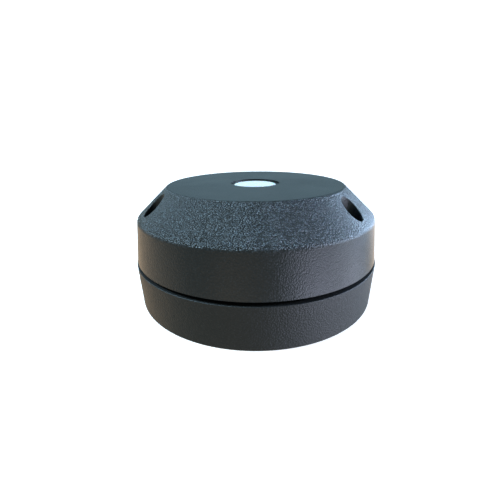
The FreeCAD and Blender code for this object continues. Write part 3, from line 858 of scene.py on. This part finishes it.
def radioShield(look):
    # drawn can with a sunk lid; the vent holes are not cut, but drawn as dark discs that are painted shade
    # standing for the dark inside
    low, high, _ = boxOf("radio_shield")
    bm = bmesh.new()
    addBox(bm, low, high, 0)
    lid = [f for f in bm.faces if f.normal.z > 0.9]
    bmesh.ops.inset_region(bm, faces=lid, thickness=look["rim"], depth=0)
    bmesh.ops.inset_region(bm, faces=lid, thickness=look["step"], depth=-look["sunk"])
    columns, rows = look["holes"]
    startX, startY = look["holeStart"]
    pitchX, pitchY = look["holePitch"]
    r, tall = look["holeRadius"], look["holeHeight"]
    floor = high.z - look["sunk"] - 0.005 * mm
    for i in range(columns):
        for j in range(rows):
            place = (low.x + startX + pitchX * i, low.y + startY + pitchY * j, floor)
            # dark epoxy disc: painted shade where a vent hole would be
            addLathe(bm, [(r, 0.0), (r, tall), (0, tall)], place, steps=18, slot=1)
    return makePiece(bm, "radioShieldCan", ["tin", "epoxy"], "base", ["radio_shield"], look["softEdge"])


aerialLook = {
    "cap": 0.9 * mm, "bars": 5, "barStart": 1.8 * mm, "barPitch": 1.2 * mm, "barWidth": 0.35 * mm,
    "barInset": 0.3 * mm, "barSunk": 0.02 * mm, "softEdge": 0.05 * mm,
}


def ceramicAerial(look):
    low, high, _ = boxOf("chip_antenna")
    cap, inset = look["cap"], look["barInset"]
    bm = bmesh.new()
    addBox(bm, (low.x + cap, low.y, low.z), (high.x - cap, high.y, high.z), 0)
    for a, b in ((low.x, low.x + cap), (high.x - cap, high.x)):
        addBox(bm, (a, low.y, low.z), (b, high.y, high.z), 1)
    for i in range(look["bars"]):
        x = low.x + look["barStart"] + look["barPitch"] * i
        addBox(bm, (x, low.y + inset, high.z - look["barSunk"]),
               (x + look["barWidth"], high.y - inset, high.z), 1)
    return makePiece(bm, "ceramicAerial", ["ceramic", "tin"], "base", ["chip_antenna"], look["softEdge"])


canLook = {
    "radius": 3.13 * mm, "baseHeight": 1.0 * mm, "baseCorner": 1.1 * mm, "groove": 0.22 * mm,
    "markAngles": (120, 120), "markSteps": 24,  # start and sweep in degrees
    "markInset": 0.62 * mm, "markSunk": 0.045 * mm, "softEdge": 0.05 * mm,
}


def capacitorCan(look):
    low, high, centre = boxOf("reservoir_capacitor")
    foot = Vector((centre.x, centre.y, 0))
    r, base, top = look["radius"], low.z + look["baseHeight"], high.z
    bm = bmesh.new()
    block = addBox(bm, low, (high.x, high.y, base), 1)
    cut = [e for e in uprightEdges(block) if e.verts[0].co.x > centre.x]
    bmesh.ops.bevel(bm, geom=cut, offset=look["baseCorner"], segments=1, affect="EDGES")
    crimp = [(r - 0.2 * mm, base), (r, base + 0.2 * mm), (r, base + 0.7 * mm),
             (r - look["groove"], base + 1.0 * mm), (r, base + 1.3 * mm)]
    lid = [(r, top - 0.4 * mm), (r - 0.12 * mm, top - 0.1 * mm), (r - 0.4 * mm, top),
           (r - 0.6 * mm, top - 0.06 * mm), (0, top - 0.06 * mm)]
    addLathe(bm, crimp + lid, foot, steps=72)
    # dark half moon that marks the negative side
    start, sweep = look["markAngles"]
    mark = []
    for step in range(look["markSteps"] + 1):
        angle = math.radians(start + sweep * step / look["markSteps"])
        mark.append(bm.verts.new(foot + polar(r - look["markInset"], angle, top - look["markSunk"])))
    bm.faces.new(mark).material_index = 1
    return makePiece(bm, "capacitorCan", ["can", "nylon"], "base", ["reservoir_capacitor"], look["softEdge"])


buttonLook = {
    "plate": 0.35 * mm, "plateInset": 0.1 * mm, "hole": 1.95 * mm, "bore": 1.86 * mm, "boreEdge": 0.1 * mm,
    "boreFloor": 1.2 * mm, "steps": 64, "rivetAt": 2.3 * mm, "rivetRadii": (0.45 * mm, 0.4 * mm, 0.3 * mm),
}


def buttonHousing(look):
    # square body under a pressed plate, with a round bore for the cap
    low, high, centre = boxOf("reset_button_body")
    foot = Vector((centre.x, centre.y, 0))
    bm = bmesh.new()

    def buttonRing(size, height, square=False):
        ring = []
        for step in range(look["steps"]):
            angle = 2 * math.pi * (step + 0.5) / look["steps"]
            reach = size / max(abs(math.cos(angle)), abs(math.sin(angle))) if square else size
            ring.append(bm.verts.new(foot + polar(reach, angle, height)))
        return ring

    outer = (high.x - low.x) / 2
    inner = outer - look["plateInset"]
    plate = high.z - look["plate"]
    bore = look["bore"]
    rings = [buttonRing(outer, low.z, True), buttonRing(outer, plate, True), buttonRing(inner, plate, True),
             buttonRing(inner, high.z, True), buttonRing(look["hole"], high.z),
             buttonRing(bore, high.z - look["boreEdge"]), buttonRing(bore, low.z + look["boreFloor"])]
    joinRings(bm, rings[:3])
    joinRings(bm, rings[2:6], slot=1)
    joinRings(bm, rings[5:])
    bm.faces.new(rings[-1])
    for dx in (-1, 1):
        for dy in (-1, 1):
            place = foot + Vector((dx * look["rivetAt"], dy * look["rivetAt"], high.z))
            addLathe(bm, [(radius, 0.0) for radius in look["rivetRadii"]], place, steps=16)
    return makePiece(bm, "buttonHousing", ["nylon", "tin"], "base", ["reset_button_body"])


switchLook = {
    "sheet": 0.35 * mm, "slotHalf": (1.0 * mm, 2.3 * mm), "skirt": 1.1 * mm, "coreDrop": 1.5 * mm,
    "tabInset": 1.2 * mm, "tabHalf": 0.5 * mm, "softEdge": 0.12 * mm,
    "ribs": 3, "ribStart": 0.35 * mm, "ribPitch": 0.45 * mm, "ribWidth": 0.18 * mm, "ribInset": 0.02 * mm,
    "ribTall": 0.2 * mm, "ribSunk": 0.001 * mm,
}


def switchShell(look):
    # folded sheet shell over a moulded core, with a slot for the knob
    low, high, centre = boxOf("power_switch_body")
    wall = look["sheet"]
    slotX, slotY = look["slotHalf"]
    west, east, south, north = centre.x - slotX, centre.x + slotX, centre.y - slotY, centre.y + slotY
    skirt, roof = low.z + look["skirt"], high.z - wall
    bm = bmesh.new()
    addBox(bm, (low.x + wall, low.y + wall, low.z),
           (high.x - wall, high.y - wall, high.z - look["coreDrop"]), 1)
    for x0, y0, x1, y1 in ((low.x, low.y, west, high.y), (east, low.y, high.x, high.y),
                           (west, low.y, east, south), (west, north, east, high.y)):
        addBox(bm, (x0, y0, roof), (x1, y1, high.z), 0)
    for x0, y0, x1, y1 in ((low.x, low.y, low.x + wall, high.y), (high.x - wall, low.y, high.x, high.y),
                           (low.x + wall, low.y, high.x - wall, low.y + wall),
                           (low.x + wall, high.y - wall, high.x - wall, high.y)):
        addBox(bm, (x0, y0, skirt), (x1, y1, roof), 0)
    half = look["tabHalf"]
    for y in (low.y + look["tabInset"], high.y - look["tabInset"]):  # bent tabs that hold the shell down
        for x in (low.x, high.x - wall):
            addBox(bm, (x, y - half, low.z), (x + wall, y + half, skirt), 0)
    return makePiece(bm, "switchShell", ["tin", "nylon"], "base", ["power_switch_body"])


def switchKnob(look):
    low, high, _ = boxOf("power_switch_knob")
    inset = look["ribInset"]
    bm = bmesh.new()
    addBox(bm, low, high, 0)
    for i in range(look["ribs"]):
        y = low.y + look["ribStart"] + look["ribPitch"] * i
        addBox(bm, (low.x + inset, y, high.z - look["ribTall"]),
               (high.x - inset, y + look["ribWidth"], high.z - look["ribSunk"]), 0)
    return makePiece(bm, "switchKnob", ["knob"], "power_knob", ["power_switch_knob"], look["softEdge"])


programHeader(headerLook)
controllerChip(chipLook)
radioBoard(radioLook)
radioShield(shieldLook)
ceramicAerial(aerialLook)
capacitorCan(canLook)
buttonHousing(buttonLook)
switchShell(switchLook)
switchKnob(switchLook)
print("board parts done")


# Camera, light and floor

cameraLook = {
    # place and aim in mm, roll in degrees
    "place": (10.453, -106.888, 54.284), "aim": (-1.964, -0.229, 12.789), "roll": -0.70, "lens": 23.05,
}
lampLook = {
    # place, aim and size in metres, power in watts, colour
    "overFront": ((-0.16, -0.10, 0.47), (0, 0, 0.03), (0.09, 0.09), 0.66, "#c9e6f6"),
    "backCard": ((0.0, 0.70, 0.30), (0, 0, 0.03), (1.30, 0.36), 0.55, "#7accff"),
    "rightHigh": ((0.42, 0.02, 0.34), (0, 0, 0.03), (0.20, 0.20), 0.46, "#86a8ff"),
    "rightBand": ((0.50, 0.01, 0.165), (0, 0, 0.03), (0.14, 0.08), 2.2, "#cfe2ff"),
    "rightLow": ((0.46, 0.36, 0.05), (0, 0, 0.02), (0.36, 0.18), 2.3, "#bcdcff"),
    "leftHigh": ((-0.40, -0.04, 0.40), (0, 0, 0.03), (0.16, 0.16), 3.1, "#bfe5ff"),
    # light that a pale table throws up on the wall
    "tableFront": ((0.37, -0.23, -0.17), (0, 0, 0.02), (0.28, 0.28), 1.15, "#dfe5ff"),
    "tableRight": ((0.48, 0.07, -0.145), (0, 0, 0.02), (0.24, 0.20), 0.60, "#e0e8ff"),
    "tableBack": ((0.30, 0.44, -0.14), (0, 0, 0.02), (0.20, 0.20), 0.26, "#ffe0c0"),
    "tableLeft": ((-0.36, 0.30, -0.21), (0, 0, 0.01), (0.42, 0.34), 0.41, "#ffd09c"),
    "tableSide": ((-0.44, -0.06, -0.19), (0, 0, 0.01), (0.30, 0.30), 0.14, "#ffd9ae"),
    "tableNear": ((-0.10, -0.45, -0.19), (0, 0, 0.01), (0.40, 0.30), 0.22, "#ffe6cc"),
}
stageLook = {
    # sizes in metres
    "flat": 0.5, "sweep": 0.35, "sweepSteps": 12, "height": 1.1, "mottle": 0.2, "glow": 0.7,
    "paint": ("#f6f6f5", "#f8f8f8"), "room": "#e8fffb", "roomPower": 0.33,
}


def makeCamera(look):
    cam = bpy.data.objects.new("camera", bpy.data.cameras.new("camera"))
    bpy.context.scene.collection.objects.link(cam)
    place, aim = Vector(look["place"]) * mm, Vector(look["aim"]) * mm
    turn = (aim - place).to_track_quat("-Z", "Y").to_matrix()
    turn = turn @ Matrix.Rotation(math.radians(look["roll"]), 3, "Z")
    cam.matrix_world = Matrix.Translation(place) @ turn.to_4x4()
    cam.data.lens = look["lens"]
    cam.data.sensor_width = 36
    cam.data.clip_start = 0.002
    bpy.context.scene.camera = cam


def makeLamps(look):
    for name, (place, aim, size, power, colour) in look.items():
        data = bpy.data.lights.new(name, "AREA")
        data.shape = "RECTANGLE"
        data.size, data.size_y = size
        data.energy = power
        data.color = hexColour(colour)[:3]
        lamp = bpy.data.objects.new(name, data)
        bpy.context.scene.collection.objects.link(lamp)
        lamp.location = place
        lamp.rotation_euler = (Vector(aim) - Vector(place)).to_track_quat("-Z", "Y").to_euler()
        lamp.visible_camera = False


def makeStage(look):
    # floor that sweeps up into a round backdrop
    bm = bmesh.new()
    flat, sweep, steps = look["flat"], look["sweep"], look["sweepSteps"]
    profile = [(0, 0), (flat * 0.5, 0), (flat, 0)]
    for step in range(1, steps + 1):
        angle = math.pi / 2 * step / steps
        profile.append((flat + sweep * math.sin(angle), sweep * (1 - math.cos(angle))))
    profile.append((flat + sweep, look["height"]))
    addLathe(bm, profile, (0, 0, 0), steps=96)
    mesh = bpy.data.meshes.new("floor")
    bm.to_mesh(mesh)
    bm.free()
    floor = bpy.data.objects.new("floor", mesh)
    bpy.context.scene.collection.objects.link(floor)
    # matt emulsion with a slight mottle, lit by its own glow so that it stays evenly pale
    mat, tree, bsdf, point = newMaterial("mattPaint", {"Roughness": 0.9, "Specular IOR Level": 0.2,
                                                       "Emission Strength": look["glow"],
                                                       "Emission Color": (1, 1, 1, 1)})
    mottle = addNode(tree, "TexNoise", {"Scale": 1 / look["mottle"]}, {"Vector": point}).outputs[0]
    dark, light = look["paint"]
    paint = addNode(tree, "MixRGB", {"Color1": hexColour(dark), "Color2": hexColour(light)}, {"Fac": mottle})
    feedShader(tree, bsdf, {"Base Color": paint})
    mesh.materials.append(mat)
    floor.visible_glossy = False  # the part isn't lit by the backdrop, only by the lamps
    floor.visible_diffuse = False
    floor.visible_shadow = False
    world = bpy.data.worlds.new("room")
    world.use_nodes = True
    background = world.node_tree.nodes["Background"]
    background.inputs[0].default_value = hexColour(look["room"])
    background.inputs[1].default_value = look["roomPower"]
    bpy.context.scene.world = world


makeCamera(cameraLook)
makeLamps(lampLook)
makeStage(stageLook)
bpy.context.scene.view_settings.view_transform = "Standard"
print("camera, light and floor done")
